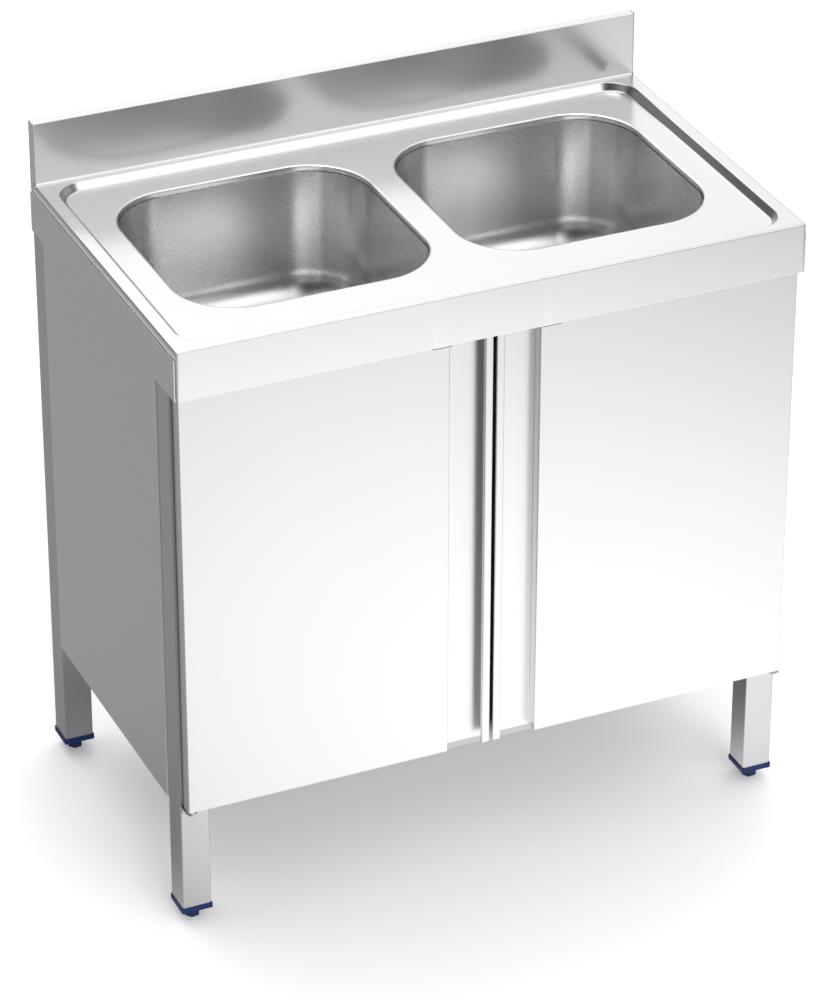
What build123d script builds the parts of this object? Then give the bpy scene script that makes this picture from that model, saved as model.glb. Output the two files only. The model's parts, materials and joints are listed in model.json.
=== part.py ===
"""Kitchen sink unit: a pressed stainless worktop with two bowls on a closed base cabinet.

The origin is on the floor under the middle of the worktop. +X is to the right, +Z is up and the doors
face -Y. All sizes are in millimetres. Left-hand pieces are drawn and mirrored to make the right-hand ones.
"""

import os
from math import atan2, degrees

from build123d import *

os.makedirs("parts", exist_ok=True)

# --- Driving dimensions: worktop -------------------------------------------------------------------
worktop_width = 850.0
worktop_depth = 506.0
worktop_height = 850.0        # floor to the raised rim
worktop_sheet = 1.2
worktop_edge_radius = 2.5
apron_height = 68.0
apron_return = 4.8            # flange turned back along the apron's foot
side_lip_height = 11.5
rim_side = 18.5               # raised border left and right of the tray
rim_front = 12.0
rim_back = 9.5
tray_drop = 10.0
tray_slope = 7.0              # plan width of the tray's sloping wall
tray_corner_radius = 40.0
tray_top_radius = 2.5
tray_foot_radius = 4.0
upstand_height = 87.5
upstand_thickness = 14.8
upstand_edge_radius = 2.0
upstand_foot_radius = 3.0
end_cap_inset = 0.6

# --- Driving dimensions: bowls and wastes ----------------------------------------------------------
bowl_side_land = 38.2         # tray floor left and right of the bowls
bowl_front_land = 73.3
bowl_back_land = 42.4
bowl_bridge = 42.6            # tray floor between the bowls
bowl_corner_radius = 85.0
bowl_floor_height = 650.0     # floor of the room to the inside of the bowl's floor
bowl_wall_lean = 7.0          # plan distance by which each wall leans in over its height
bowl_foot_radius = 48.0
bowl_sheet = 1.0
bowl_rim_radius = 3.2
bowl_collar = 8.0             # turned-down collar of the worktop that the bowl is welded to
waste_seat_radius = 44.0
waste_seat_drop = 2.6
waste_hole_radius = 25.0
waste_flange_radius = 42.0
waste_flange_thickness = 2.2
waste_spigot_radius = 24.4    # flange's collar through the bowl's hole
waste_spigot_length = 6.0
waste_bore_radius = 19.5
waste_gasket_thickness = 3.0
waste_gasket_radius = 38.0
waste_body_flange = 4.0
waste_cup_radius = 29.0
waste_cup_height = 15.4
waste_tail_radius = 23.9      # thread of a 1 1/2 inch pipe
waste_tail_length = 35.5
grid_seat = 2.0               # ledge in the flange that the grid lies on
grid_thickness = 1.5
grid_hole_radius = 3.0
grid_hole_circle = 11.5
grid_hole_count = 8
grid_bar_width = 7.0
grid_bar_drop = 14.0          # bar's underside below the bowl's seat
grid_bar_height = 4.0
grid_screw_radius = 2.5
grid_screw_head_radius = 4.5
grid_screw_head_height = 2.0
grid_slot = 1.2               # width of the screwdriver slot

# --- Driving dimensions: frame, legs and feet ------------------------------------------------------
leg_side = 40.0
leg_wall = 1.5
leg_corner_radius = 2.5
leg_foot_height = 25.0        # lower end of the tube above the floor
front_leg_setback = 29.5      # front leg's face behind the apron's face
rear_leg_setback = 1.0
leg_inset = 0.0               # leg's outer face inside the worktop's end
rail_width = 30.0
rail_height = 38.0
rail_sheet = 1.5
stiffener_width = 25.0
stiffener_height = 24.0
insert_flange = 7.5
insert_overhang = 1.0
insert_plug_length = 25.0
foot_across_corners = 21.0
foot_turn = 8.0               # degrees by which each screwed-in foot stands turned
foot_bevel = 1.5
foot_stud_radius = 5.0
foot_stud_length = 45.0
foot_travel = 20.0            # how far each foot can be screwed out

# --- Driving dimensions: cabinet -------------------------------------------------------------------
panel_sheet = 1.5
panel_proud = 1.8             # side panel's face outside the worktop's edge
panel_foot_height = 176.0
panel_flange = 13.0
panel_leg_gap = 0.5
stile_sheet = 1.0
stile_foot_height = 171.5
stile_return = 30.0
shelf_height = 200.0
shelf_sheet = 1.0
shelf_skirt = 28.0
back_panel_setback = 3.0      # back panel's face ahead of the worktop's back
back_panel_flange = 15.0

# --- Driving dimensions: doors and hinges ----------------------------------------------------------
door_setback = 9.0            # door's face behind the apron's face
door_inset = 3.8              # door's outer edge inside the worktop's end
door_thickness = 18.0
door_sheet = 1.0
door_foot_height = 184.0
door_top_gap = 2.8            # door's top below the apron's foot
door_meeting_gap = 4.4
grip_lip_width = 11.2
grip_lip_hem = 4.5
grip_recess_width = 48.0      # open width between the leaf and the grip lip
door_hem = 9.5
liner_flange = 8.0
door_bend_radius = 1.5        # at the middle of the sheet
pivot_inset = 6.0             # hinge axis inside the door's outer edge
pivot_setback = 5.5           # hinge axis behind the door's face
pivot_pin_radius = 2.5
pivot_running_gap = 0.05
pivot_pin_reach = 8.0
pivot_head_radius = 5.0
pivot_head_height = 3.4
bush_wall = 1.6
bush_collar_wall = 3.4
bush_collar_height = 1.0
bracket_sheet = 2.0
bracket_tab_width = 15.0
bracket_flange_width = 34.0
bracket_flange_height = 10.0
catch_length = 26.5
catch_arm_height = 8.0
catch_plate_height = 32.0
catch_plate_thickness = 2.5
catch_drop = 2.0              # catch's underside below the apron's foot
magnet_length = 18.0
magnet_width = 8.0
magnet_height = 3.0

# --- Driving dimensions: screws and clearances -----------------------------------------------------
screw_radius = 2.0
screw_head_radius = 3.6
screw_head_height = 2.2
screw_reach = 8.0
screw_gap = 0.1               # radial room of a screw in its hole
seat_gap = 0.3                # between pieces that only stand beside each other
thrust_gap = 0.2              # between a bush's collar and its bracket
press_gap = 0.05              # radial room of a pressed-in piece

# --- Places worked out from the driving dimensions -------------------------------------------------
half_width = worktop_width / 2
front = -worktop_depth / 2
back = worktop_depth / 2
left = -half_width
apron_foot = worktop_height - apron_height
lip_foot = worktop_height - side_lip_height
tray_floor = worktop_height - tray_drop
tray_under = tray_floor - worktop_sheet
upstand_face = back - upstand_thickness
upstand_top = worktop_height + upstand_height
tray_front = front + rim_front
tray_back = upstand_face - rim_back
tray_size_x = worktop_width - 2 * rim_side
tray_size_y = tray_back - tray_front
tray_middle_y = (tray_front + tray_back) / 2
tray_foot_x = tray_size_x / 2 - tray_slope
tray_foot_front = tray_front + tray_slope
tray_foot_back = tray_back - tray_slope
collar_foot = tray_floor - bowl_collar
bowl_length = tray_foot_x - bowl_side_land - bowl_bridge / 2
bowl_front = tray_foot_front + bowl_front_land
bowl_back = tray_foot_back - bowl_back_land
bowl_width = bowl_back - bowl_front
bowl_x = (bowl_bridge + bowl_length) / 2
bowl_y = (bowl_front + bowl_back) / 2
frame_top = tray_under - seat_gap
rail_foot = frame_top - rail_height
leg_outer = left + leg_inset
leg_inner = leg_outer + leg_side
front_leg_face = front + front_leg_setback
front_leg_back = front_leg_face + leg_side
rear_leg_back = back - rear_leg_setback
rear_leg_face = rear_leg_back - leg_side
insert_foot = leg_foot_height - insert_flange
panel_face = left - panel_proud
panel_front = front_leg_back + panel_leg_gap
panel_back = rear_leg_face - panel_leg_gap
stile_face = front_leg_face - stile_sheet
stile_top = rail_foot - seat_gap
door_outer = left + door_inset
door_face = front + door_setback
door_back = door_face + door_thickness
door_top = apron_foot - door_top_gap
door_inner = -door_meeting_gap / 2
lip_outer = door_inner - grip_lip_width
leaf_inner = lip_outer - grip_recess_width
pivot_x = door_outer + pivot_inset
pivot_y = door_face + pivot_setback
bush_radius = pivot_pin_radius + pivot_running_gap + bush_wall
lower_bracket_top = door_foot_height - bush_collar_height - thrust_gap
upper_bracket_foot = door_top + bush_collar_height + thrust_gap
catch_foot = apron_foot - catch_drop


def block(x_low, x_high, y_low, y_high, z_low, z_high):
    """Plain block between two corners."""
    size = Box(x_high - x_low, y_high - y_low, z_high - z_low)
    return Pos((x_low + x_high) / 2, (y_low + y_high) / 2, (z_low + z_high) / 2) * size


def rod(x, y, z_low, z_high, radius):
    """Upright round bar."""
    return Pos(x, y, (z_low + z_high) / 2) * Cylinder(radius, z_high - z_low)


def rod_along_y(x, z, y_low, y_high, radius):
    """Round bar from front to back."""
    return Pos(x, (y_low + y_high) / 2, z) * Rot(90, 0, 0) * Cylinder(radius, y_high - y_low)


def rod_along_x(y, z, x_low, x_high, radius):
    """Round bar from left to right."""
    return Pos((x_low + x_high) / 2, y, z) * Rot(0, 90, 0) * Cylinder(radius, x_high - x_low)


def bent_sheet(points, sheet, bend, z_low, z_high):
    """Sheet folded along a line in plan, which runs in the middle of its thickness."""
    path = FilletPolyline(*points, radius=bend)
    return Pos(0, 0, z_low) * extrude(trace(path, sheet), z_high - z_low)


def edges_within(part, low, high):
    """Edges that lie wholly inside a box."""
    found = []
    for edge in part.edges():
        reach = edge.bounding_box()
        inside_low = all(a >= b - 0.01 for a, b in zip(tuple(reach.min), low))
        inside_high = all(a <= b + 0.01 for a, b in zip(tuple(reach.max), high))
        if inside_low and inside_high:
            found.append(edge)
    return found


def mirrored(part):
    """The right-hand copy of a left-hand piece."""
    return mirror(part, about=Plane.YZ)


# --- Worktop ---------------------------------------------------------------------------------------
def pressed_pan(grow, z_top, z_floor):
    """The tray's hollow, or with grow its outside: a rounded rectangle whose walls lean in."""
    mouth = RectangleRounded(tray_size_x + 2 * grow, tray_size_y + 2 * grow, tray_corner_radius + grow)
    size_x = tray_size_x - 2 * tray_slope + 2 * grow
    size_y = tray_size_y - 2 * tray_slope + 2 * grow
    base = RectangleRounded(size_x, size_y, tray_corner_radius - tray_slope + grow)
    place = Pos(0, tray_middle_y, z_top)
    return loft([place * mouth, Pos(0, tray_middle_y, z_floor) * base], ruled=True)


def bowl_hollow(side, grow):
    """Inside of a bowl, or with grow its outside, from the tray floor down to the bowl's floor."""
    mouth = RectangleRounded(bowl_length + 2 * grow, bowl_width + 2 * grow, bowl_corner_radius + grow)
    size_x = bowl_length - 2 * bowl_wall_lean + 2 * grow
    size_y = bowl_width - 2 * bowl_wall_lean + 2 * grow
    base = RectangleRounded(size_x, size_y, bowl_corner_radius - bowl_wall_lean + grow)
    floor = bowl_floor_height - grow
    body = loft([Pos(side * bowl_x, bowl_y, tray_floor) * mouth, Pos(side * bowl_x, bowl_y, floor) * base],
                ruled=True)
    return fillet(body.edges().group_by(Axis.Z)[0], bowl_foot_radius + grow)


def rounded_slab(shrink, z_low, z_high, radius):
    """Block of the worktop's plan with its front, side and front corner edges rounded."""
    slab = block(left + shrink, -left - shrink, front + shrink, back - shrink, z_low, z_high)
    top = edges_within(slab, (-worktop_width, front, z_high), (worktop_width, back - shrink - 1, z_high))
    top += [edge for edge in slab.edges().filter_by(Axis.Y) if edge.center().Z > z_high - 1]
    corners = [edge for edge in slab.edges().filter_by(Axis.Z) if edge.center().Y < 0]
    return fillet(top + corners, radius)


def make_worktop():
    slab = rounded_slab(0, apron_foot, worktop_height, worktop_edge_radius)
    wall = block(left, -left, upstand_face, back, worktop_height - worktop_edge_radius, upstand_top)
    rim = [edge for edge in wall.edges().filter_by(Axis.X) if edge.center().Z > worktop_height]
    rim += [edge for edge in wall.edges().filter_by(Axis.Z) if edge.center().Y < back - 1]
    top = slab + fillet(rim, upstand_edge_radius)
    hollow = rounded_slab(worktop_sheet, apron_foot - 1, worktop_height - worktop_sheet,
                          worktop_edge_radius - worktop_sheet)
    top -= hollow
    top -= block(left - 1, -left + 1, upstand_face + worktop_sheet, back - worktop_sheet,
                 worktop_height - 2 * worktop_sheet, upstand_top - worktop_sheet)
    # Only the front keeps its full skirt: the ends and the back stop at a short lip.
    for side in (-1, 1):
        edge = side * half_width
        inner = edge - side * (worktop_sheet + 0.5)
        top -= block(min(edge, inner) - 1 * (side < 0), max(edge, inner) + 1 * (side > 0),
                     front + worktop_edge_radius, back + 1, apron_foot - 1, lip_foot)
    top -= block(left - 1, -left + 1, back - worktop_sheet - 0.5, back + 1, apron_foot - 1, lip_foot)
    flange = block(left + 2 * worktop_edge_radius, -left - 2 * worktop_edge_radius,
                   front + worktop_sheet / 2, front + worktop_sheet + apron_return,
                   apron_foot, apron_foot + worktop_sheet)
    for side in (-1, 1):
        middle = side * catch_middle
        reach = catch_length / 2 + seat_gap
        flange -= block(middle - reach, middle + reach, front + worktop_sheet, front + 20,
                        apron_foot - 1, apron_foot + 5)
    top += flange
    foot = edges_within(top, (left, upstand_face, worktop_height), (-left, upstand_face, worktop_height))
    top = fillet([edge for edge in foot if edge.length > half_width], upstand_foot_radius)
    top += pressed_pan(worktop_sheet, worktop_height - worktop_sheet / 2, tray_under)
    top -= pressed_pan(0, worktop_height, tray_floor)
    for side in (-1, 1):
        collar = bowl_hollow(side, worktop_sheet) & block(left, -left, front, back, collar_foot, tray_floor)
        top += collar
        top -= bowl_hollow(side, 0)
    mouth = edges_within(top, (-tray_size_x / 2, tray_front, worktop_height),
                         (tray_size_x / 2, tray_back, worktop_height))
    top = fillet(mouth, tray_top_radius)
    low = (-tray_foot_x, tray_foot_front, tray_floor)
    high = (tray_foot_x, tray_foot_back, tray_floor)
    floor_edges = edges_within(top, low, high)
    outline = [edge for edge in floor_edges if touches_outline(edge, low, high)]
    rims = [edge for edge in floor_edges if edge not in outline]
    top = fillet(outline, tray_foot_radius)
    rims = [edge for edge in edges_within(top, low, high) if near_bowl(edge)]
    return fillet(rims, bowl_rim_radius)


def touches_outline(edge, low, high):
    """True for an edge of the tray floor's outer outline."""
    reach = edge.bounding_box()
    corner = tray_corner_radius
    return (reach.min.X < low[0] + corner or reach.max.X > high[0] - corner
            or reach.min.Y < low[1] + 1 or reach.max.Y > high[1] - 1) and not near_bowl(edge)


def near_bowl(edge):
    """True for an edge that lies on the outline of either bowl."""
    middle = edge.center()
    return (abs(abs(middle.X) - bowl_x) < bowl_length / 2 + 1
            and abs(middle.Y - bowl_y) < bowl_width / 2 + 1)


def make_end_cap():
    """Left plate that closes the folded upstand."""
    x_low = left + end_cap_inset
    cap = block(x_low, x_low + worktop_sheet, upstand_face + worktop_sheet, back - worktop_sheet,
                worktop_height - worktop_sheet, upstand_top - worktop_sheet)
    return cap


# --- Bowls and wastes ------------------------------------------------------------------------------
seat_floor = bowl_floor_height - waste_seat_drop
seat_under = seat_floor - bowl_sheet
flange_top = seat_floor + waste_flange_thickness
spigot_foot = seat_floor - waste_spigot_length
body_top = seat_under - waste_gasket_thickness
tail_top = body_top - waste_cup_height
tail_foot = tail_top - waste_tail_length
bar_foot = seat_floor - grid_bar_drop
grid_radius = waste_bore_radius + grid_seat


def make_bowl(side):
    x = side * bowl_x
    body = bowl_hollow(side, bowl_sheet) + rod(x, bowl_y, seat_under, bowl_floor_height,
                                               waste_seat_radius + bowl_sheet)
    body -= bowl_hollow(side, 0)
    body -= rod(x, bowl_y, seat_floor, bowl_floor_height + 1, waste_seat_radius)
    body -= rod(x, bowl_y, seat_under - 1, seat_floor + 1, waste_hole_radius)
    return body & block(left, -left, front, back, seat_under - 1, collar_foot)


def make_waste_flange(side):
    """Turned ring on the bowl's seat, with a ledge for the grid and a collar through the hole."""
    x = side * bowl_x
    ring = rod(x, bowl_y, seat_floor, flange_top, waste_flange_radius)
    ring = chamfer(ring.edges().group_by(Axis.Z)[-1], waste_flange_thickness / 2)
    ring += rod(x, bowl_y, spigot_foot, seat_floor, waste_spigot_radius)
    ring -= rod(x, bowl_y, spigot_foot - 1, flange_top + 1, waste_bore_radius)
    return ring - rod(x, bowl_y, flange_top - grid_thickness, flange_top + 1, grid_radius + press_gap)


def make_waste_gasket(side):
    x = side * bowl_x
    ring = rod(x, bowl_y, body_top, seat_under, waste_gasket_radius)
    return ring - rod(x, bowl_y, body_top - 1, seat_under + 1, waste_spigot_radius + press_gap)


def make_waste_body(side):
    """Moulded outlet under the bowl, with the threaded tail and the bar that takes the grid's screw."""
    x = side * bowl_x
    body = rod(x, bowl_y, body_top - waste_body_flange, body_top, waste_gasket_radius)
    body += rod(x, bowl_y, tail_top, body_top, waste_cup_radius)
    body += rod(x, bowl_y, tail_foot, tail_top, waste_tail_radius)
    body -= rod(x, bowl_y, tail_foot - 1, body_top + 1, waste_bore_radius)
    body -= rod(x, bowl_y, spigot_foot - seat_gap, body_top + 1, waste_spigot_radius + press_gap)
    body += block(x - waste_bore_radius - 1, x + waste_bore_radius + 1, bowl_y - grid_bar_width / 2,
                  bowl_y + grid_bar_width / 2, bar_foot, bar_foot + grid_bar_height)
    return body - rod(x, bowl_y, bar_foot - 1, seat_floor, grid_screw_radius + screw_gap)


def make_waste_grid(side):
    """Perforated disc let into the flange."""
    x = side * bowl_x
    disc = rod(x, bowl_y, flange_top - grid_thickness, flange_top, grid_radius)
    for place in PolarLocations(grid_hole_circle, grid_hole_count):
        disc -= rod(x + place.position.X, bowl_y + place.position.Y, seat_floor, flange_top + 1,
                    grid_hole_radius)
    return disc - rod(x, bowl_y, seat_floor, flange_top + 1, grid_screw_radius + screw_gap)


def make_grid_screw(side):
    x = side * bowl_x
    head_top = flange_top + grid_screw_head_height
    head = rod(x, bowl_y, flange_top, head_top, grid_screw_head_radius)
    head = fillet(head.edges().group_by(Axis.Z)[-1], grid_screw_head_height / 2)
    head -= block(x - grid_screw_head_radius, x + grid_screw_head_radius, bowl_y - grid_slot / 2,
                  bowl_y + grid_slot / 2, flange_top + grid_screw_head_height / 2, head_top + 1)
    return head + rod(x, bowl_y, bar_foot, flange_top, grid_screw_radius)


# --- Legs, inserts and feet ------------------------------------------------------------------------
leg_places = {
    "front_left": (leg_outer + leg_side / 2, front_leg_face + leg_side / 2),
    "front_right": (-leg_outer - leg_side / 2, front_leg_face + leg_side / 2),
    "rear_left": (leg_outer + leg_side / 2, rear_leg_back - leg_side / 2),
    "rear_right": (-leg_outer - leg_side / 2, rear_leg_back - leg_side / 2),
}


def make_leg(x, y):
    """Square tube with rounded corners."""
    tube = RectangleRounded(leg_side, leg_side, leg_corner_radius)
    bore_side = leg_side - 2 * leg_wall
    tube -= RectangleRounded(bore_side, bore_side, leg_corner_radius - leg_wall)
    leg = Pos(x, y, leg_foot_height) * extrude(tube, frame_top - leg_foot_height)
    if y < 0:
        for hole_x, hole_z in hinge_screw_places:
            leg -= rod_along_y(hole_x if x < 0 else -hole_x, hole_z, y - leg_side / 2 - 1,
                               y - leg_side / 2 + leg_wall + 1, screw_radius + screw_gap)
    else:
        inner = leg_inner if x < 0 else -leg_inner
        for hole_z in back_screw_heights:
            leg -= rod_along_x(back_screw_y, hole_z, inner - leg_wall - 1, inner + leg_wall + 1,
                               screw_radius + screw_gap)
    return leg


def make_leg_insert(x, y):
    """Plastic end piece: a flange under the tube and a plug inside it, threaded for the foot."""
    side = leg_side + 2 * insert_overhang
    insert = Pos(x, y, insert_foot) * extrude(RectangleRounded(side, side, leg_corner_radius / 4),
                                              insert_flange)
    plug_side = leg_side - 2 * leg_wall - 2 * press_gap
    plug = RectangleRounded(plug_side, plug_side, leg_corner_radius - leg_wall)
    insert += Pos(x, y, leg_foot_height) * extrude(plug, insert_plug_length)
    return insert - rod(x, y, insert_foot - 1, leg_foot_height + insert_plug_length + 1,
                        foot_stud_radius + press_gap)


def make_foot(x, y):
    """Six-sided screw foot with its stud."""
    outline = Rot(0, 0, foot_turn) * RegularPolygon(foot_across_corners / 2, 6)
    foot = extrude(outline, insert_foot - seat_gap)
    foot = chamfer(foot.faces().sort_by(Axis.Z)[0].edges(), foot_bevel)
    return Pos(x, y, 0) * foot + rod(x, y, insert_foot - 1, insert_foot + foot_stud_length,
                                     foot_stud_radius)


# --- Top frame -------------------------------------------------------------------------------------
def channel(width, height, sheet):
    """Section of a channel that is open below, centred on its width with its top at zero."""
    section = Pos(0, -height / 2) * Rectangle(width, height)
    return section - Pos(0, -height / 2 - sheet) * Rectangle(width - 2 * sheet, height)


def channel_along_x(x_low, x_high, y_middle, width, height, z_top):
    profile = Plane.YZ * channel(width, height, rail_sheet)
    return Pos(x_low, y_middle, z_top) * extrude(profile, x_high - x_low)


def channel_along_y(y_low, y_high, x_middle, width, height, z_top):
    profile = Plane.XZ * channel(width, height, rail_sheet)
    return Pos(x_middle, y_high, z_top) * extrude(profile, y_high - y_low)


def make_front_rail():
    rail = channel_along_x(leg_inner, -leg_inner, front_leg_face + rail_width / 2, rail_width,
                           rail_height, frame_top)
    for side in (-1, 1):
        rail -= rod_along_y(side * catch_middle, catch_screw_z, front_leg_face - 1,
                            front_leg_face + rail_sheet + 1, screw_radius + screw_gap)
    return rail


def make_rear_rail():
    return channel_along_x(leg_inner, -leg_inner, rear_leg_back - rail_width / 2, rail_width,
                           rail_height, frame_top)


def make_side_rail():
    return channel_along_y(front_leg_back, rear_leg_face, leg_outer + seat_gap + rail_width / 2,
                           rail_width, rail_height, frame_top)


def make_bowl_stiffener():
    return channel_along_y(front_leg_face + rail_width, rear_leg_back - rail_width, 0,
                           stiffener_width, stiffener_height, frame_top)


# --- Cabinet panels --------------------------------------------------------------------------------
def make_side_panel():
    """Left panel: a band under the worktop over the full depth, and a tray-folded sheet below it."""
    middle = panel_face + panel_sheet / 2
    tip = panel_face + panel_flange
    front_line = panel_front + panel_sheet / 2
    back_line = panel_back - panel_sheet / 2
    points = [(tip, front_line), (middle, front_line), (middle, back_line), (tip, back_line)]
    panel = bent_sheet(points, panel_sheet, panel_sheet, panel_foot_height, apron_foot)
    band_front = front + worktop_edge_radius + seat_gap
    panel += block(panel_face, panel_face + panel_sheet, band_front, rear_leg_back,
                   apron_foot, lip_foot - seat_gap)
    panel += block(middle, tip, front_line, back_line, panel_foot_height, panel_foot_height + panel_sheet)
    return panel


def make_front_stile():
    """Left strip that faces the front leg and turns back along its inner side."""
    line_y = stile_face + stile_sheet / 2
    line_x = leg_inner + stile_sheet / 2 + seat_gap
    points = [(leg_outer + seat_gap, line_y), (line_x, line_y), (line_x, line_y + stile_return)]
    stile = bent_sheet(points, stile_sheet, door_bend_radius, stile_foot_height, stile_top)
    for hole_x, hole_z in hinge_screw_places:
        stile -= rod_along_y(hole_x, hole_z, stile_face - 1, front_leg_face + 1,
                             screw_radius + screw_gap)
    return stile


back_face = back - back_panel_setback
back_screw_heights = (260.0, 480.0, 700.0)
back_screw_y = back_face - back_panel_flange / 2


def make_back_panel():
    """Sheet between the rear legs with edges folded forward and screwed to them."""
    line_x = leg_inner + panel_sheet / 2
    line_y = back_face - panel_sheet / 2
    tip = back_face - back_panel_flange
    points = [(line_x, tip), (line_x, line_y), (-line_x, line_y), (-line_x, tip)]
    panel = bent_sheet(points, panel_sheet, panel_sheet, panel_foot_height, rail_foot - seat_gap)
    panel += block(line_x, -line_x, tip, line_y, panel_foot_height, panel_foot_height + panel_sheet)
    for side in (-1, 1):
        for height in back_screw_heights:
            panel -= rod_along_x(back_screw_y, height, side * -leg_inner - 3, side * -leg_inner + 3,
                                 screw_radius + screw_gap)
    return panel


def make_bottom_shelf():
    """Floor of the cabinet, notched round the legs, with its edges turned down."""
    z_low = shelf_height - shelf_sheet
    x_edge = panel_face + panel_sheet + seat_gap
    x_notch = leg_inner + stile_sheet + 3 * seat_gap
    y_edge = front_leg_face + 2 * seat_gap
    y_notch = panel_front + panel_sheet + seat_gap
    y_end = back_face - back_panel_flange - seat_gap
    y_rear_notch = panel_back - panel_sheet - seat_gap
    skirt_foot = shelf_height - shelf_skirt
    shelf = block(x_notch, -x_notch, y_edge, y_end, z_low, shelf_height)
    shelf += block(x_edge, -x_edge, y_notch, y_rear_notch, z_low, shelf_height)
    shelf += block(x_notch, -x_notch, y_edge, y_edge + shelf_sheet, skirt_foot, shelf_height)
    shelf += block(x_notch, -x_notch, y_end - shelf_sheet, y_end, skirt_foot, shelf_height)
    for side in (-1, 1):
        outer = side * -x_edge
        inner = outer - side * shelf_sheet
        shelf += block(min(outer, inner), max(outer, inner), y_notch, y_rear_notch,
                       panel_foot_height + panel_sheet, shelf_height)
    return shelf


# --- Doors -----------------------------------------------------------------------------------------
def make_door_skin():
    """Left leaf: one sheet folded into the leaf, the set-back finger recess and the grip lip."""
    half = door_sheet / 2
    outer, face, rear = door_outer + half, door_face + half, door_back - half
    recess, inner, lip = leaf_inner - half, door_inner - half, lip_outer + half
    points = [(door_outer + door_hem, rear), (outer, rear), (outer, face), (recess, face), (recess, rear),
              (inner, rear), (inner, face), (lip, face), (lip, door_face + grip_lip_hem)]
    skin = bent_sheet(points, door_sheet, door_bend_radius, door_foot_height, door_top)
    for z_low in (door_foot_height, door_top - door_sheet):
        skin += block(outer, recess, face, door_back - 2 * door_sheet, z_low, z_low + door_sheet)
        skin -= rod(pivot_x, pivot_y, z_low - 1, z_low + door_sheet + 1, bush_radius + press_gap)
    return skin


def make_door_liner():
    """Inner sheet that closes the leaf from behind, with its long edges folded forward."""
    half = door_sheet / 2
    rear = door_back - door_sheet - half
    left_line = door_outer + door_sheet + seat_gap + half
    right_line = leaf_inner - door_sheet - half
    tip = rear - liner_flange
    points = [(left_line, tip), (left_line, rear), (right_line, rear), (right_line, tip)]
    return bent_sheet(points, door_sheet, door_bend_radius, door_foot_height + door_sheet,
                      door_top - door_sheet)


# --- Hinges ----------------------------------------------------------------------------------------
screw_line_low = lower_bracket_top - bracket_flange_height / 2 - bracket_sheet / 2
screw_line_high = upper_bracket_foot + bracket_flange_height / 2 + bracket_sheet / 2
bracket_left = pivot_x - bracket_tab_width / 2
hinge_screw_xs = (bracket_left + bracket_tab_width / 2, bracket_left + bracket_flange_width - 5)
hinge_screw_places = [(x, z) for x in hinge_screw_xs for z in (screw_line_low, screw_line_high)]
bracket_rear = stile_face
bracket_front = bracket_rear - bracket_sheet


def make_hinge_bracket(z_plate, z_flange_low, z_flange_high):
    """Angle on the stile whose tab, with a rounded end, carries the pivot pin."""
    tab = rod(pivot_x, pivot_y, z_plate, z_plate + bracket_sheet, bracket_tab_width / 2)
    tab += block(bracket_left, bracket_left + bracket_tab_width, pivot_y, bracket_rear,
                 z_plate, z_plate + bracket_sheet)
    flange = block(bracket_left, bracket_left + bracket_flange_width, bracket_front, bracket_rear,
                   z_flange_low, z_flange_high)
    bracket = tab + flange
    bracket -= rod(pivot_x, pivot_y, z_plate - 1, z_plate + bracket_sheet + 1,
                   pivot_pin_radius + press_gap)
    for hole_x, hole_z in hinge_screw_places:
        bracket -= rod_along_y(hole_x, hole_z, bracket_front - 1, bracket_rear + 1,
                               screw_radius + screw_gap)
    return bracket


def make_lower_bracket():
    z_plate = lower_bracket_top - bracket_sheet
    return make_hinge_bracket(z_plate, lower_bracket_top - bracket_flange_height, lower_bracket_top)


def make_upper_bracket():
    z_plate = upper_bracket_foot
    return make_hinge_bracket(z_plate, z_plate, z_plate + bracket_flange_height)


def make_lower_pin():
    """Pin with its head under the bracket, standing up into the door's bush."""
    head_top = lower_bracket_top - bracket_sheet
    head = rod(pivot_x, pivot_y, head_top - pivot_head_height, head_top, pivot_head_radius)
    head = fillet(head.edges().group_by(Axis.Z)[0], pivot_head_height / 2)
    return head + rod(pivot_x, pivot_y, head_top, door_foot_height + pivot_pin_reach, pivot_pin_radius)


def make_upper_pin():
    head_foot = upper_bracket_foot + bracket_sheet
    head = rod(pivot_x, pivot_y, head_foot, head_foot + pivot_head_height, pivot_head_radius)
    return head + rod(pivot_x, pivot_y, door_top - pivot_pin_reach, head_foot, pivot_pin_radius)


def make_bush(z_face, outward):
    """Collared bush in the door's edge; outward is +1 at the top of the door and -1 at the bottom."""
    tip = z_face + outward * bush_collar_height
    inner = z_face - outward * (pivot_pin_reach + 1)
    bush = rod(pivot_x, pivot_y, min(inner, z_face), max(inner, z_face), bush_radius)
    bush += rod(pivot_x, pivot_y, min(tip, z_face), max(tip, z_face),
                pivot_pin_radius + bush_collar_wall)
    return bush - rod(pivot_x, pivot_y, min(inner, tip) - 1, max(inner, tip) + 1,
                      pivot_pin_radius + pivot_running_gap)


def make_hinge_screws():
    """The eight screws that hold the hinge brackets to the stiles and front legs."""
    screws = []
    for side in (-1, 1):
        for hole_x, hole_z in hinge_screw_places:
            x = side * -hole_x
            screws.append(rod_along_y(x, hole_z, bracket_front - screw_head_height, bracket_front,
                                      screw_head_radius)
                          + rod_along_y(x, hole_z, bracket_front, bracket_front + screw_reach,
                                        screw_radius))
    return Compound(screws)


# --- Catches ---------------------------------------------------------------------------------------
catch_middle = -leaf_inner + catch_length / 2
catch_front = front + worktop_sheet + seat_gap
catch_screw_z = catch_foot + catch_plate_height - 1.8 * screw_head_radius
magnet_y = (door_face + door_back) / 2


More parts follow.
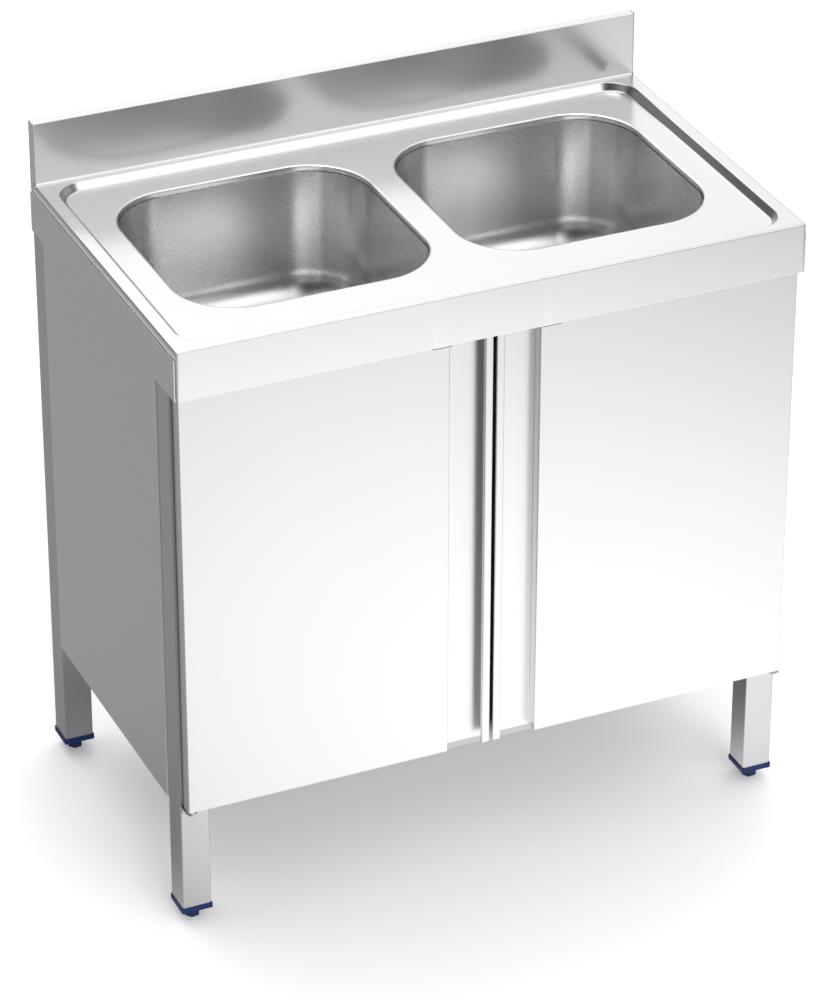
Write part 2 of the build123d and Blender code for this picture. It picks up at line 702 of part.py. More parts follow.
def make_catch_body():
    """Left catch: an arm that reaches over the door's top edge and a plate on the front rail."""
    x_low, x_high = -catch_middle - catch_length / 2, -catch_middle + catch_length / 2
    body = block(x_low, x_high, catch_front, front_leg_face, catch_foot, catch_foot + catch_arm_height)
    body += block(x_low, x_high, front_leg_face - catch_plate_thickness, front_leg_face,
                  catch_foot, catch_foot + catch_plate_height)
    body -= block(-catch_middle - magnet_length / 2, -catch_middle + magnet_length / 2,
                  magnet_y - magnet_width / 2, magnet_y + magnet_width / 2,
                  catch_foot - 1, catch_foot + magnet_height)
    return body - rod_along_y(-catch_middle, catch_screw_z, front_leg_face - catch_plate_thickness - 1,
                              front_leg_face + 1, screw_radius + screw_gap)


def make_catch_magnet():
    return block(-catch_middle - magnet_length / 2, -catch_middle + magnet_length / 2,
                 magnet_y - magnet_width / 2, magnet_y + magnet_width / 2,
                 catch_foot, catch_foot + magnet_height)


def make_catch_screws():
    screws = []
    plate = front_leg_face - catch_plate_thickness
    for side in (-1, 1):
        x = side * catch_middle
        screws.append(rod_along_y(x, catch_screw_z, plate - screw_head_height, plate, screw_head_radius)
                      + rod_along_y(x, catch_screw_z, plate, plate + screw_reach, screw_radius))
    return Compound(screws)


def make_back_panel_screws():
    """Six screws through the back panel's folded edges into the rear legs."""
    screws = []
    head_face = leg_inner + panel_sheet
    for side in (-1, 1):
        for height in back_screw_heights:
            head = rod_along_x(back_screw_y, height, head_face, head_face + screw_head_height,
                               screw_head_radius)
            shank = rod_along_x(back_screw_y, height, head_face - screw_reach, head_face, screw_radius)
            screws.append(head + shank if side < 0 else mirrored(head + shank))
    return Compound(screws)


# --- Assembly --------------------------------------------------------------------------------------
def make_pieces():
    """Every piece by the name of its node."""
    pieces = {"worktop": make_worktop()}
    for name, side in (("left", -1), ("right", 1)):
        pieces["bowl_" + name] = make_bowl(side)
        pieces["waste_flange_" + name] = make_waste_flange(side)
        pieces["waste_gasket_" + name] = make_waste_gasket(side)
        pieces["waste_body_" + name] = make_waste_body(side)
        pieces["waste_grid_" + name] = make_waste_grid(side)
    pieces["waste_grid_screws"] = Compound([make_grid_screw(-1), make_grid_screw(1)])
    for name, (x, y) in leg_places.items():
        pieces["leg_" + name] = make_leg(x, y)
        pieces["leg_insert_" + name] = make_leg_insert(x, y)
        pieces["foot_" + name] = make_foot(x, y)
    pieces["top_rail_front"] = make_front_rail()
    pieces["top_rail_rear"] = make_rear_rail()
    pieces["bowl_stiffener"] = make_bowl_stiffener()
    pieces["back_panel"] = make_back_panel()
    pieces["bottom_shelf"] = make_bottom_shelf()
    left_hand = {
        "upstand_end_cap": make_end_cap(),
        "top_rail": make_side_rail(),
        "side_panel": make_side_panel(),
        "front_stile": make_front_stile(),
        "door_skin": make_door_skin(),
        "door_liner": make_door_liner(),
        "hinge_bracket_lower": make_lower_bracket(),
        "hinge_bracket_upper": make_upper_bracket(),
        "hinge_pin_lower": make_lower_pin(),
        "hinge_pin_upper": make_upper_pin(),
        "hinge_bush_lower": make_bush(door_foot_height, -1),
        "hinge_bush_upper": make_bush(door_top, 1),
        "catch_body": make_catch_body(),
        "catch_magnet": make_catch_magnet(),
    }
    for name, part in left_hand.items():
        pieces[name + "_left"] = part
        pieces[name + "_right"] = mirrored(part)
    pieces["hinge_screws"] = make_hinge_screws()
    pieces["catch_screws"] = make_catch_screws()
    pieces["back_panel_screws"] = make_back_panel_screws()
    return pieces


for node, piece in make_pieces().items():
    export_step(piece, f"parts/{node}.step")
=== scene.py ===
"""Studio scene for a stainless kitchen sink unit: finishes, visible sheet metal, floor, light, camera."""

import json
import math

import bmesh
import bpy
from mathutils import Matrix, Vector


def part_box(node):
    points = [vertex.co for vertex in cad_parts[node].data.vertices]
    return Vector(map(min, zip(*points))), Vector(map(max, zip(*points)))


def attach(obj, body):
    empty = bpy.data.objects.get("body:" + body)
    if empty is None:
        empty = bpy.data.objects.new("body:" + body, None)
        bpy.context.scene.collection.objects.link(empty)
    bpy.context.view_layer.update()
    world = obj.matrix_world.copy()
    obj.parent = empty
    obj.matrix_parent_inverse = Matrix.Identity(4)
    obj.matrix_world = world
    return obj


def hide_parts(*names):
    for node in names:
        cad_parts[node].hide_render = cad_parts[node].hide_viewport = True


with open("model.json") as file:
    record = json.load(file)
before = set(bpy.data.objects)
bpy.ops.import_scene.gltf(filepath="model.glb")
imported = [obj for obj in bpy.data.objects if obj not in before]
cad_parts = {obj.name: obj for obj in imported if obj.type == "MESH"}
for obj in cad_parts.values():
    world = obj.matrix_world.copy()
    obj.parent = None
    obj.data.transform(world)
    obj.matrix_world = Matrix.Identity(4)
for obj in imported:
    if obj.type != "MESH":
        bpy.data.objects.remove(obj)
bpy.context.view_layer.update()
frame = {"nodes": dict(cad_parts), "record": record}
bodies = frame["record"]["behaviour"]["bodies"]
body_of = {name: body for body, members in bodies.items() for name in members}
scene = bpy.context.scene

MM = 0.001


# --- Finishes --------------------------------------------------------------------------------------
def srgb(code):
    """Linear colour with alpha from an sRGB hex value."""
    parts = [int(code[i:i + 2], 16) / 255 for i in (1, 3, 5)]
    linear = [p / 12.92 if p <= 0.04045 else ((p + 0.055) / 1.055) ** 2.4 for p in parts]
    return (*linear, 1.0)


def add(tree, kind, settings=None, sockets=None):
    """Adds a node with its settings, and sets or links its sockets."""
    made = tree.nodes.new(kind)
    for name, value in (settings or {}).items():
        setattr(made, name, value)
    for name, value in (sockets or {}).items():
        target = made.inputs[name]
        if isinstance(value, bpy.types.NodeSocket):
            tree.links.new(value, target)
        else:
            target.default_value = value
    return made


def new_material(name):
    """A material without nodes, and its node tree."""
    material = bpy.data.materials.new(name)
    material.use_nodes = True
    material.node_tree.nodes.clear()
    return material, material.node_tree


# Noise seldom leaves this range, so it is what gets spread over the range that is asked for.
noise_low, noise_high = 0.3, 0.7


def steel(name, light, dark, roughness, grain, across=1.2, depth=0.0015, wear=0.012):
    """Stainless steel with a rubbed grain; grain gives how much shorter the pattern is on each axis.

    light and dark are the two ends of its tone, across is the distance between scratches and depth their
    depth, both in millimetres. Real scratches are 0.1 mm apart, which no view can show, so they are drawn
    coarser. wear is how much the roughness drifts over a hand's breadth.
    """
    hand_breadths_per_metre = 9.0
    scratch_roughness = 0.03
    material, tree = new_material(name)
    place = add(tree, "ShaderNodeTexCoord").outputs["Object"]
    stretched = add(tree, "ShaderNodeMapping", {}, {"Vector": place, "Scale": grain})
    scratches = add(tree, "ShaderNodeTexNoise", {}, {
        "Vector": stretched.outputs["Vector"], "Scale": 1 / (across * MM), "Detail": 3.0, "Roughness": 0.6})
    clouds = add(tree, "ShaderNodeTexNoise", {}, {
        "Vector": place, "Scale": hand_breadths_per_metre, "Detail": 4.0, "Roughness": 0.55})
    rough_low = add(tree, "ShaderNodeMapRange", {}, {
        "Value": clouds.outputs["Fac"], "From Min": noise_low, "From Max": noise_high,
        "To Min": roughness - wear, "To Max": roughness + wear})
    rough = add(tree, "ShaderNodeMath", {"operation": "MULTIPLY_ADD"}, {
        0: scratches.outputs["Fac"], 1: scratch_roughness, 2: rough_low.outputs["Result"]})
    tone = add(tree, "ShaderNodeMix", {"data_type": "RGBA"}, {
        "Factor": clouds.outputs["Fac"], "A": srgb(dark), "B": srgb(light)})
    bump = add(tree, "ShaderNodeBump", {}, {
        "Height": scratches.outputs["Fac"], "Strength": 1.0, "Distance": depth * MM})
    shader = add(tree, "ShaderNodeBsdfPrincipled", {}, {
        "Base Color": tone.outputs["Result"], "Metallic": 1.0, "Roughness": rough.outputs["Value"],
        "Normal": bump.outputs["Normal"]})
    add(tree, "ShaderNodeOutputMaterial", {}, {"Surface": shader.outputs["BSDF"]})
    return material


def moulded(name, colour, faded, roughness, specular=0.5):
    """Moulded plastic, rubber or ceramic, with the fine texture of its tool and a slightly uneven colour."""
    pitch, depth = 0.8 * MM, 0.01 * MM
    patches_per_metre, drift = 60.0, 0.06
    material, tree = new_material(name)
    place = add(tree, "ShaderNodeTexCoord").outputs["Object"]
    texture = add(tree, "ShaderNodeTexNoise", {}, {"Vector": place, "Scale": 1 / pitch, "Detail": 2.0})
    patches = add(tree, "ShaderNodeTexNoise", {}, {
        "Vector": place, "Scale": patches_per_metre, "Detail": 3.0})
    tone = add(tree, "ShaderNodeMix", {"data_type": "RGBA"}, {
        "Factor": patches.outputs["Fac"], "A": srgb(colour), "B": srgb(faded)})
    rough = add(tree, "ShaderNodeMapRange", {}, {
        "Value": patches.outputs["Fac"], "From Min": noise_low, "From Max": noise_high,
        "To Min": roughness - drift, "To Max": roughness + drift})
    bump = add(tree, "ShaderNodeBump", {}, {
        "Height": texture.outputs["Fac"], "Strength": 1.0, "Distance": depth})
    shader = add(tree, "ShaderNodeBsdfPrincipled", {}, {
        "Base Color": tone.outputs["Result"], "Roughness": rough.outputs["Result"],
        "Specular IOR Level": specular, "Normal": bump.outputs["Normal"]})
    add(tree, "ShaderNodeOutputMaterial", {}, {"Surface": shader.outputs["BSDF"]})
    return material


# Scratches are fifty times as long as they are apart.
along_x, along_z, no_grain = (0.02, 1, 1), (1, 1, 0.02), (1, 1, 1)

finishes = {
    # Satin-rubbed stainless sheet, rubbed along its length: soft, broad reflections.
    "worktop_steel": steel("satin_stainless_worktop", "#f0f0f0", "#eeeeee", 0.22, along_x),
    # Deep-drawn stainless, polished with a mop after drawing: an even sheen with no straight grain.
    "bowl_steel": steel("drawn_stainless_bowl", "#e9e9e9", "#e6e6e6", 0.26, no_grain, 1.5, 0.0001, 0.004),
    # Satin-rubbed stainless sheet with its grain upright: softer reflections than the worktop's.
    "door_steel": steel("satin_stainless_door", "#ededed", "#e9e9e9", 0.3, along_z),
    "panel_steel": steel("satin_stainless_panel", "#f0f0f0", "#ececec", 0.34, along_z),
    # Stainless left as it comes from the mill: the dullest of the sheets.
    "frame_steel": steel("bright_rolled_stainless", "#cdcdcd", "#c4c4c4", 0.45, along_x),
    # Welded square tube, ground along its length: a little bluer than the sheet.
    "leg_steel": steel("ground_stainless_tube", "#d0d2d4", "#cccecf", 0.3, along_z, 1.0),
    # Blanked from strip and tumbled: satin.
    "hinge_steel": steel("blanked_stainless_hinge", "#cfcfd0", "#bdbdbe", 0.3, along_x, 0.8),
    # Turned: bright.
    "screw_steel": steel("turned_stainless_screw", "#d8d8d8", "#c4c4c4", 0.22, no_grain, 0.6),
    # Pressed and polished: the clearest reflections here.
    "waste_steel": steel("polished_stainless_waste", "#e4e4e4", "#d4d4d4", 0.14, no_grain),
    # Moulded polypropylene, coloured through: a dim, waxy sheen.
    "blue_plastic": moulded("moulded_polypropylene_blue", "#18295a", "#1b2d60", 0.42, 0.2),
    "waste_plastic": moulded("moulded_polypropylene_waste", "#d9dad8", "#cfd0ce", 0.45),
    "catch_plastic": moulded("moulded_polypropylene_catch", "#5a5c5c", "#505252", 0.42),
    # Moulded nylon: a little shinier.
    "foot_plastic": moulded("moulded_polyamide_foot", "#182345", "#1c284c", 0.38, 0.25),
    "bush_nylon": moulded("moulded_nylon_bush", "#e9e6dc", "#dedacc", 0.4),
    # Pressed and sintered ferrite: a dull charcoal ceramic.
    "magnet": moulded("sintered_ferrite", "#2d2c2d", "#3b3a3a", 0.6, 0.4),
    # Moulded nitrile rubber: nearly black and matt.
    "rubber_seal": moulded("moulded_nitrile_seal", "#1c1c1d", "#262627", 0.62, 0.35),
}

slot_of = {part["node"]: part["material_slot"] for part in frame["record"]["subparts"]}
finish_of = {name: finishes[slot] for name, slot in slot_of.items()}
# The shelf is left as it comes from the mill, like the rails under the worktop.
finish_of["bottom_shelf"] = finishes["frame_steel"]
for name, piece in frame["nodes"].items():
    piece.data.materials.clear()
    piece.data.materials.append(finish_of[name])


# --- Making pieces ---------------------------------------------------------------------------------
def finished(name, shape, nodes, sheet=0.0, edge=0.0, sharp=30.0):
    """Makes the piece that is shown for some CAD nodes.

    sheet is the thickness that a skin gets, inwards; edge is the width of its broken edges; sharp is the
    angle in degrees from which an edge stays crisp.
    """
    mesh = bpy.data.meshes.new(name)
    shape.to_mesh(mesh)
    shape.free()
    mesh.shade_smooth()
    mesh.set_sharp_from_angle(angle=math.radians(sharp))
    mesh.materials.append(finish_of[nodes[0]])
    piece = bpy.data.objects.new(name, mesh)
    scene.collection.objects.link(piece)
    if sheet:
        wall = piece.modifiers.new("sheet", "SOLIDIFY")
        wall.thickness = sheet
        wall.offset = -1
        wall.use_even_offset = True
    if edge:
        broken = piece.modifiers.new("broken_edges", "BEVEL")
        broken.limit_method = "ANGLE"
        broken.angle_limit = math.radians(sharp)
        broken.width = edge
        broken.segments = 2
        broken.harden_normals = True
    piece.modifiers.new("even_shading", "WEIGHTED_NORMAL").keep_sharp = True
    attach(piece, body_of[nodes[0]])
    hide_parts(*nodes)


def dressed(node):
    """A CAD node's own shape with its loose triangles joined and its edges broken."""
    join_gap, flat, broken_width = 0.004 * MM, math.radians(0.4), 0.25 * MM
    shape = bmesh.new()
    shape.from_mesh(frame["nodes"][node].data)
    bmesh.ops.remove_doubles(shape, verts=shape.verts, dist=join_gap)
    bmesh.ops.dissolve_limit(shape, angle_limit=flat, verts=shape.verts, edges=shape.edges)
    finished(node + "_piece", shape, [node], edge=broken_width)


def with_edges(faces):
    """Faces together with their edges, which is what a cut goes through."""
    return faces + list({edge for face in faces for edge in face.edges})


def vertices(made):
    """The vertices among the things that an operator made."""
    return [item for item in made if isinstance(item, bmesh.types.BMVert)]


def rounded(shape, edges, radius, steps):
    """Rounds edges over."""
    bmesh.ops.bevel(shape, geom=edges, affect="EDGES", offset=radius, segments=steps, profile=0.5,
                    material=-1)


def rounded_ring(shape, size_x, size_y, radius, x, y, z, steps):
    """Edges of a level rectangle with rounded corners."""
    corners = bmesh.ops.create_grid(shape, x_segments=1, y_segments=1, size=0.5)["verts"]
    bmesh.ops.scale(shape, vec=(size_x, size_y, 1), verts=corners)
    bmesh.ops.translate(shape, vec=(x, y, z), verts=corners)
    made = bmesh.ops.bevel(shape, geom=corners, affect="VERTICES", offset=radius, segments=steps,
                           profile=0.5, material=-1)
    edges = {edge for vert in made["verts"] for edge in vert.link_edges}
    bmesh.ops.delete(shape, geom=list({face for edge in edges for face in edge.link_faces}),
                     context="FACES_ONLY")
    return list(edges)


def pressed(shape, size_x, size_y, radius, x, y, profile, steps):
    """Wall that follows a rounded rectangle; profile lists how far outside it and how high each ring is.

    Returns the edges of the first and the last ring.
    """
    rings = [rounded_ring(shape, size_x + 2 * out, size_y + 2 * out, radius + out, x, y, z, steps)
             for out, z in profile]
    for upper, lower in zip(rings, rings[1:]):
        bmesh.ops.bridge_loops(shape, edges=upper + lower)
    return rings[0], rings[-1]


def bend(out, z, radius, turn, steps, hollow=False):
    """Profile of the bend from level sheet down into a wall, or when hollow from a wall out to level sheet.

    out and z are where the two planes meet and turn is the wall's angle below level, in degrees.
    """
    reach = radius * math.tan(math.radians(turn) / 2)
    angles = [math.radians(turn) * step / steps for step in range(steps + 1)]
    if hollow:
        return [(out - reach + radius * math.sin(a), z + radius - radius * math.cos(a))
                for a in reversed(angles)]
    return [(out + reach - radius * math.sin(a), z - radius + radius * math.cos(a)) for a in angles]


# --- Worktop ---------------------------------------------------------------------------------------
low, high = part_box("worktop")
top_height = 850 * MM
edge_radius = 2.5 * MM
lip_foot = top_height - 11.5 * MM

upstand_depth, upstand_foot_radius, upstand_top_radius = 14.8 * MM, 3 * MM, 2 * MM
upstand_face = high.y - upstand_depth
foot_line = upstand_face - upstand_foot_radius

# The apron's foot is turned back in three lengths: out to the ends, and between the two catches.
apron_end, catch_outside, catch_inside = 420 * MM, 88.2 * MM, 61.1 * MM
turned_back, turned_radius = 6 * MM, 1 * MM

tray_depth, tray_radius, front_land, back_land = 10 * MM, 40 * MM, 12 * MM, 9.5 * MM
tray_floor = top_height - tray_depth
tray_size = (813 * MM, upstand_face - back_land - low.y - front_land)
tray_y = low.y + front_land + tray_size[1] / 2
step_out, step_top_radius, step_foot_radius = 7 * MM, 2.5 * MM, 4 * MM
step_turn = 90 - math.degrees(math.atan(step_out / tray_depth))

bowl_size, bowl_radius, bowl_y = 340 * MM, 85 * MM, 9.3 * MM
bowl_places = {"left": -191.3 * MM, "right": 191.3 * MM}
bowl_floor, bowl_foot_radius = 650 * MM, 48 * MM
# How far the bowl's walls come in from its rim to its floor.
bowl_draft = 7 * MM
bowl_lean = bowl_draft / (tray_floor - bowl_floor)
bowl_turn = 90 - math.degrees(math.atan(bowl_lean))
collar = 8 * MM
collar_foot = (-collar * bowl_lean, tray_floor - collar)
# The rim rounds over softly through 26 degrees and then turns down sharply, which lights it as a thin line.
rim_out, rim_radius, rim_turn = 1.66 * MM, 8 * MM, 26

bend_steps, tray_corner_steps, bowl_corner_steps = 6, 16, 20
# Closer than this, two places are the same.
touch = 0.001 * MM
# A face whose normal goes this far along an axis is square to it.
square = 0.999


def slab(shape):
    """Top, apron and ends of the worktop with their rounded edges; returns the edges of the open top."""
    block = bmesh.ops.create_cube(shape, size=1.0)["verts"]
    size = Vector((high.x - low.x, foot_line - low.y, top_height - low.z))
    bmesh.ops.scale(shape, vec=size, verts=block)
    bmesh.ops.translate(shape, vec=(0, low.y + size.y / 2, low.z + size.z / 2), verts=block)
    spare = [face for face in shape.faces if face.normal.z < -square or face.normal.y > square]
    bmesh.ops.delete(shape, geom=spare, context="FACES")
    folds = [edge for edge in shape.edges if len(edge.link_faces) == 2]
    rounded(shape, folds, edge_radius, bend_steps)
    # The ends stop at a short lip; only the front keeps its full apron.
    ends = [face for face in shape.faces if abs(face.normal.x) > square]
    bmesh.ops.bisect_plane(shape, geom=with_edges(ends), plane_co=(0, 0, lip_foot), plane_no=(0, 0, 1))
    spare = [face for face in shape.faces
             if abs(face.normal.x) > square and face.calc_center_median().z < lip_foot]
    bmesh.ops.delete(shape, geom=spare, context="FACES")
    level = [face for face in shape.faces if face.normal.z > square]
    top = max(level, key=lambda face: face.calc_area())
    opening = list(top.edges)
    bmesh.ops.delete(shape, geom=[top], context="FACES_ONLY")
    return opening


def turned_foot(shape):
    """Turns the apron's foot back, with gaps for the two catches."""
    stops = (-apron_end, -catch_outside, -catch_inside, catch_inside, catch_outside, apron_end)
    for x in stops:
        apron = [face for face in shape.faces if face.normal.y < -square]
        bmesh.ops.bisect_plane(shape, geom=with_edges(apron), plane_co=(x, 0, 0), plane_no=(1, 0, 0))
    for start, stop in zip(stops[::2], stops[1::2]):
        foot = [edge for edge in shape.edges
                if all(abs(v.co.z - low.z) < touch and start - touch < v.co.x < stop + touch
                       for v in edge.verts)]
        turned = vertices(bmesh.ops.extrude_edge_only(shape, edges=foot)["geom"])
        bmesh.ops.translate(shape, vec=(0, turned_back, 0), verts=turned)
        rounded(shape, foot, turned_radius, 3)


def tray_and_rims(shape, opening):
    """Stepped tray in the open top, and the bowls' rims in its floor."""
    step = bend(0, top_height, step_top_radius, step_turn, bend_steps)
    step += bend(-step_out, tray_floor, step_foot_radius, step_turn, bend_steps, hollow=True)
    mouth, tray_edge = pressed(shape, *tray_size, tray_radius, 0, tray_y, step, tray_corner_steps)
    bmesh.ops.triangle_fill(shape, edges=opening + mouth, use_beauty=True)
    rim = bend(rim_out, tray_floor, rim_radius, rim_turn, bend_steps) + [collar_foot]
    holes = []
    for x in bowl_places.values():
        holes += pressed(shape, bowl_size, bowl_size, bowl_radius, x, bowl_y, rim, bowl_corner_steps)[0]
    bmesh.ops.triangle_fill(shape, edges=tray_edge + holes, use_beauty=True)


def ends_behind(shape):
    """Carries the end walls on under the upstand's end caps; the long edge between them stays."""
    long_edge = 100 * MM
    behind = [edge for edge in shape.edges if edge.is_boundary and edge.calc_length() < long_edge
              and all(abs(v.co.y - foot_line) < touch and abs(v.co.x) > high.x - edge_radius - touch
                      for v in edge.verts)]
    made = vertices(bmesh.ops.extrude_edge_only(shape, edges=behind)["geom"])
    bmesh.ops.translate(shape, vec=(0, high.y - foot_line, 0), verts=made)


def upstand(shape):
    """One sheet up, over and down to the lip at the back."""
    rise = [(foot_line, top_height), (upstand_face, top_height), (upstand_face, high.z), (high.y, high.z),
            (high.y, lip_foot)]
    line = [shape.verts.new((low.x, y, z)) for y, z in rise]
    run = [shape.edges.new(pair) for pair in zip(line, line[1:])]
    for x in (low.x + edge_radius, high.x - edge_radius, high.x):
        made = bmesh.ops.extrude_edge_only(shape, edges=run)["geom"]
        moved = vertices(made)
        run = [item for item in made
               if isinstance(item, bmesh.types.BMEdge) and all(v in moved for v in item.verts)]
        bmesh.ops.translate(shape, vec=(x - moved[0].co.x, 0, 0), verts=moved)
    bends = ((upstand_face, top_height, upstand_foot_radius), (upstand_face, high.z, upstand_top_radius),
             (high.y, high.z, upstand_top_radius))
    for y, z, radius in bends:
        fold = [edge for edge in shape.edges
                if all(abs(v.co.y - y) < touch and abs(v.co.z - z) < touch for v in edge.verts)]
        rounded(shape, fold, radius, bend_steps)


def worktop_skin():
    """Outer skin of the worktop: edges, apron, stepped tray, the bowls' rims and the upstand."""
    shape = bmesh.new()
    opening = slab(shape)
    turned_foot(shape)
    tray_and_rims(shape, opening)
    ends_behind(shape)
    upstand(shape)
    bmesh.ops.remove_doubles(shape, verts=shape.verts, dist=0.01 * MM)
    bmesh.ops.recalc_face_normals(shape, faces=shape.faces)
    return shape


# --- Bowls -----------------------------------------------------------------------------------------
def bowl_skin(x):
    """Inner skin of a bowl from the rim's collar down to the hole for the waste."""
    # Radius and depth below the floor, in millimetres, of the round seat that is pressed for the waste.
    seat = ((46.5, 0), (45.5, 0.3), (44.6, 1.8), (43.5, 2.5), (42, 2.6), (25, 2.6), (24.6, 2.8))
    foot_steps, seat_steps = 14, 64
    shape = bmesh.new()
    profile = [collar_foot]
    profile += bend(-bowl_draft, bowl_floor, bowl_foot_radius, bowl_turn, foot_steps, hollow=True)
    _, foot = pressed(shape, bowl_size, bowl_size, bowl_radius, x, bowl_y, profile, bowl_corner_steps)
    circles = []
    for radius, depth in seat:
        made = bmesh.ops.create_circle(shape, segments=seat_steps, radius=radius * MM)["verts"]
        bmesh.ops.translate(shape, vec=(x, bowl_y, bowl_floor - depth * MM), verts=made)
        circles.append(list({edge for vert in made for edge in vert.link_edges}))
    bmesh.ops.triangle_fill(shape, edges=foot + circles[0], use_beauty=True)
    for upper, lower in zip(circles, circles[1:]):
        bmesh.ops.bridge_loops(shape, edges=upper + lower)
    bmesh.ops.recalc_face_normals(shape, faces=shape.faces)
    return shape


# Sheet thicknesses, and the angle in degrees up to which the pressed bends shade smoothly.
worktop_sheet, bowl_sheet, crease = 1.2 * MM, 1.0 * MM, 50
finished("worktop_piece", worktop_skin(), ["worktop"], sheet=worktop_sheet, sharp=crease)
for side, x in bowl_places.items():
    finished("bowl_" + side + "_piece", bowl_skin(x), ["bowl_" + side], sheet=bowl_sheet, sharp=crease)

for name in frame["nodes"]:
    if name not in ("worktop", "bowl_left", "bowl_right"):
        dressed(name)


# --- Floor -----------------------------------------------------------------------------------------
def hump(tree, centre, reach):
    """Socket that is 1 at a place and falls off softly around it; reach is how far it goes each way."""
    place = add(tree, "ShaderNodeTexCoord")
    off = add(tree, "ShaderNodeVectorMath", {"operation": "SUBTRACT"}, {
        0: place.outputs["Object"], 1: centre})
    share = add(tree, "ShaderNodeVectorMath", {"operation": "DIVIDE"}, {0: off.outputs["Vector"], 1: reach})
    square_of_share = add(tree, "ShaderNodeVectorMath", {"operation": "DOT_PRODUCT"}, {
        0: share.outputs["Vector"], 1: share.outputs["Vector"]})
    minus = add(tree, "ShaderNodeMath", {"operation": "MULTIPLY"}, {
        0: square_of_share.outputs["Value"], 1: -1.0})
    return add(tree, "ShaderNodeMath", {"operation": "EXPONENT"}, {
        0: minus.outputs["Value"]}).outputs["Value"]


def pale_floor():
    """Matt pale studio floor, a little lifted for the camera, with a painted pool of light on it for the
    steel.

    In the steel the floor shows as a painted soft pool of light in front of the unit, a little to the right,
    dim beside and behind it, and with painted shade under it.
    """
    # The steel sees painted light and shade on the floor: a painted pool of light in front and painted shade
    # under the unit.
    lift_for_camera, dim_level, painted_shade_under = 0.177, 0.375, -0.24
    painted_pool_centre, painted_pool_reach = (0.3, -0.7, 0), (1.29, 1.82, 1)
    painted_shade_reach = (0.5, 0.28, 1)
    # Where the painted pool of light fades in, towards the front from Y 0 and towards the right from X
    # -0.65.
    fade_y, fade_x = (0.0, -0.35), (-0.65, -0.3)
    material, tree = new_material("pale_floor")
    rays = add(tree, "ShaderNodeLightPath")
    place = add(tree, "ShaderNodeSeparateXYZ", {}, {
        "Vector": add(tree, "ShaderNodeTexCoord").outputs["Object"]})
    matt = add(tree, "ShaderNodeBsdfDiffuse", {}, {"Color": srgb("#f3f3f3")})
    lift = add(tree, "ShaderNodeMath", {"operation": "MULTIPLY"}, {
        0: rays.outputs["Is Camera Ray"], 1: lift_for_camera})
    glow = add(tree, "ShaderNodeEmission", {}, {"Strength": lift.outputs["Value"]})
    lit = add(tree, "ShaderNodeAddShader", {}, {0: matt.outputs["BSDF"], 1: glow.outputs["Emission"]})
    # Painted pool of light for the steel to reflect.
    pool = hump(tree, painted_pool_centre, painted_pool_reach)
    ahead = add(tree, "ShaderNodeMapRange", {"interpolation_type": "SMOOTHSTEP"}, {
        "Value": place.outputs["Y"], "From Min": fade_y[0], "From Max": fade_y[1]})
    beside = add(tree, "ShaderNodeMapRange", {"interpolation_type": "SMOOTHSTEP"}, {
        "Value": place.outputs["X"], "From Min": fade_x[0], "From Max": fade_x[1]})
    front = add(tree, "ShaderNodeMath", {"operation": "MULTIPLY"}, {
        0: ahead.outputs["Result"], 1: beside.outputs["Result"]})
    # Painted shade under the unit, seen only in the steel.
    under = hump(tree, (0, 0, 0), painted_shade_reach)
    dim = add(tree, "ShaderNodeMath", {"operation": "MULTIPLY_ADD"}, {
        0: under, 1: painted_shade_under, 2: dim_level})
    shown = add(tree, "ShaderNodeMath", {"operation": "MULTIPLY_ADD"}, {
        0: pool, 1: front.outputs["Value"], 2: dim.outputs["Value"]})
    # Glossy rays see this painted light and shade instead of the floor's own lit colour.
    painted_floor_reflection = add(tree, "ShaderNodeEmission", {}, {"Strength": shown.outputs["Value"]})
    seen = add(tree, "ShaderNodeMixShader", {}, {
        0: rays.outputs["Is Glossy Ray"], 1: lit.outputs["Shader"], 2: painted_floor_reflection.outputs["Emission"]})
    add(tree, "ShaderNodeOutputMaterial", {}, {"Surface": seen.outputs["Shader"]})
    return material


floor_half_size = 12.0
floor_mesh = bpy.data.meshes.new("floor")
shape = bmesh.new()
bmesh.ops.create_grid(shape, x_segments=1, y_segments=1, size=floor_half_size)
shape.to_mesh(floor_mesh)
shape.free()
floor = bpy.data.objects.new("floor", floor_mesh)
scene.collection.objects.link(floor)
floor.data.materials.append(pale_floor())

# --- Light -----------------------------------------------------------------------------------------
# Soft lights of the studio: compass bearing from the back wall, height above the horizon, the angle from
# its middle at which a light has fallen to half, all in degrees, and its strength.
softboxes = (
    (7, 70, 22, 1.79),       # broad lights overhead
    (324, 68, 18, 1.32),
    (275, 60, 16, 0.62),
    (18, 21, 20, 0.44),      # behind
    (25, 12, 15, 0.20),
    (345, 8, 12, 0.22),
    (25, 30, 12, 0.56),
    (5, 40, 12, 0.27),
    (345, 33, 12, 0.35),
    (170, 10, 9, 2.96),      # low in front
    (150, 10, 9, 0.30),
    (215, 12, 15, 0.24),
    (102, 14, 15, 0.45),     # to the right
    (140, 56, 11, 1.40),     # high in front, to the right
    (151, 40, 10, 1.75))
# The dark room around them, and the plain white that the camera sees behind the unit.
room_level, backdrop_level = 0.01, 1.0

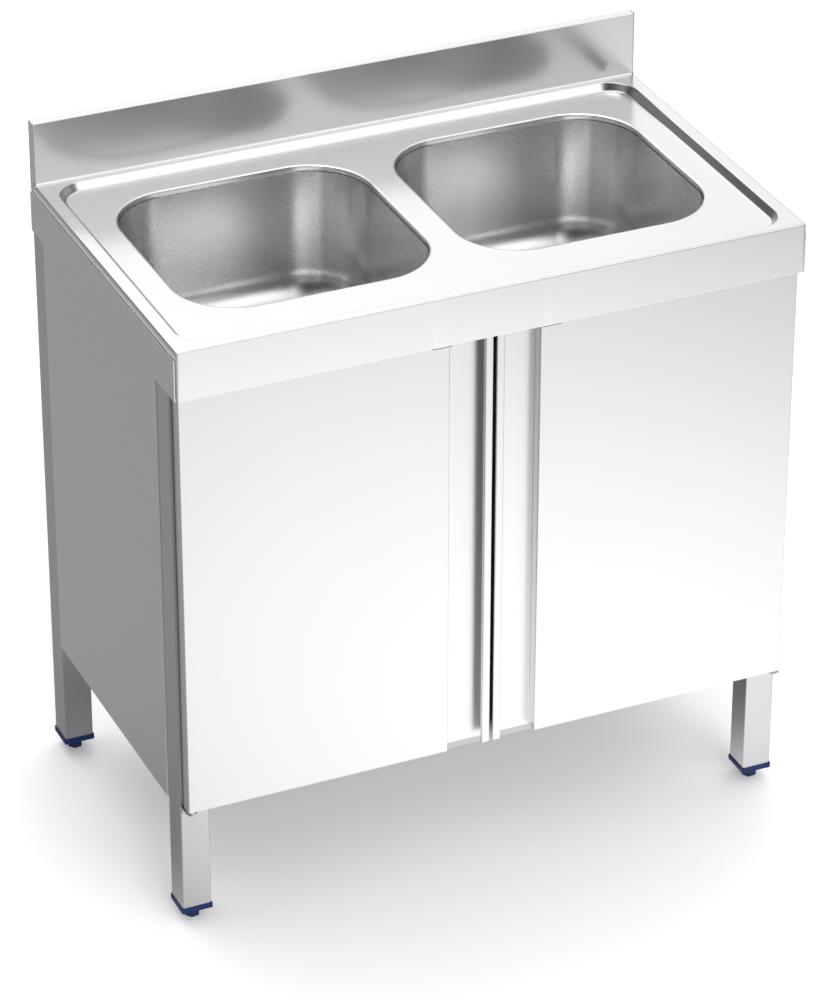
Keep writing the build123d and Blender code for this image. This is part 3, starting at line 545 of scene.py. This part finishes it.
world = bpy.data.worlds.new("studio")
scene.world = world
world.use_nodes = True
tree = world.node_tree
tree.nodes.clear()
where = add(tree, "ShaderNodeTexCoord").outputs["Generated"]
level = room_level
for bearing, height, half, strength in softboxes:
    bearing, height = math.radians(bearing), math.radians(height)
    aim = (math.sin(bearing) * math.cos(height), math.cos(bearing) * math.cos(height), math.sin(height))
    fall = math.log(2) / (1 - math.cos(math.radians(half)))
    facing = add(tree, "ShaderNodeVectorMath", {"operation": "DOT_PRODUCT"}, {0: where, 1: aim})
    power = add(tree, "ShaderNodeMath", {"operation": "MULTIPLY_ADD"}, {
        0: facing.outputs["Value"], 1: fall, 2: -fall})
    light = add(tree, "ShaderNodeMath", {"operation": "EXPONENT"}, {0: power.outputs["Value"]})
    level = add(tree, "ShaderNodeMath", {"operation": "MULTIPLY_ADD"}, {
        0: light.outputs["Value"], 1: strength, 2: level}).outputs["Value"]
rays = add(tree, "ShaderNodeLightPath")
strength = add(tree, "ShaderNodeMix", {}, {
    "Factor": rays.outputs["Is Camera Ray"], "A": level, "B": backdrop_level})
sky = add(tree, "ShaderNodeBackground", {}, {
    "Color": srgb("#ffffff"), "Strength": strength.outputs["Result"]})
add(tree, "ShaderNodeOutputWorld", {}, {"Surface": sky.outputs["Background"]})

# Soft suns that shade the floor and the plastics; reflections don't show them. Bearing, height above the
# horizon and width, all in degrees, and strength.
suns = ((60, 50, 50, 0.62), (180, 55, 50, 0.49), (180, 20, 40, 1.69))
for number, (bearing, height, width, strength) in enumerate(suns):
    sun = bpy.data.lights.new("sun_" + str(number), "SUN")
    sun.energy = strength
    sun.angle = math.radians(width)
    lamp = bpy.data.objects.new("sun_" + str(number), sun)
    scene.collection.objects.link(lamp)
    lamp.rotation_euler = (math.pi / 2 - math.radians(height), 0, math.pi - math.radians(bearing))
    lamp.visible_glossy = False

# --- Camera ----------------------------------------------------------------------------------------
camera_place = (-2.1091, -4.7361, 3.4164)
azimuth, elevation, roll = math.radians(24.071), math.radians(-30.068), math.radians(0.12)
camera_data = bpy.data.cameras.new("camera")
camera_data.sensor_fit = "VERTICAL"
camera_data.sensor_height = 36.0
camera_data.lens = 164.17
camera_data.clip_start, camera_data.clip_end = 0.1, 60.0
camera = bpy.data.objects.new("camera", camera_data)
scene.collection.objects.link(camera)
camera.matrix_world = (Matrix.Translation(camera_place)
                       @ Matrix.Rotation(-azimuth, 4, "Z")
                       @ Matrix.Rotation(math.pi / 2 + elevation, 4, "X")
                       @ Matrix.Rotation(roll, 4, "Z"))
scene.camera = camera
scene.view_settings.view_transform = "Standard"
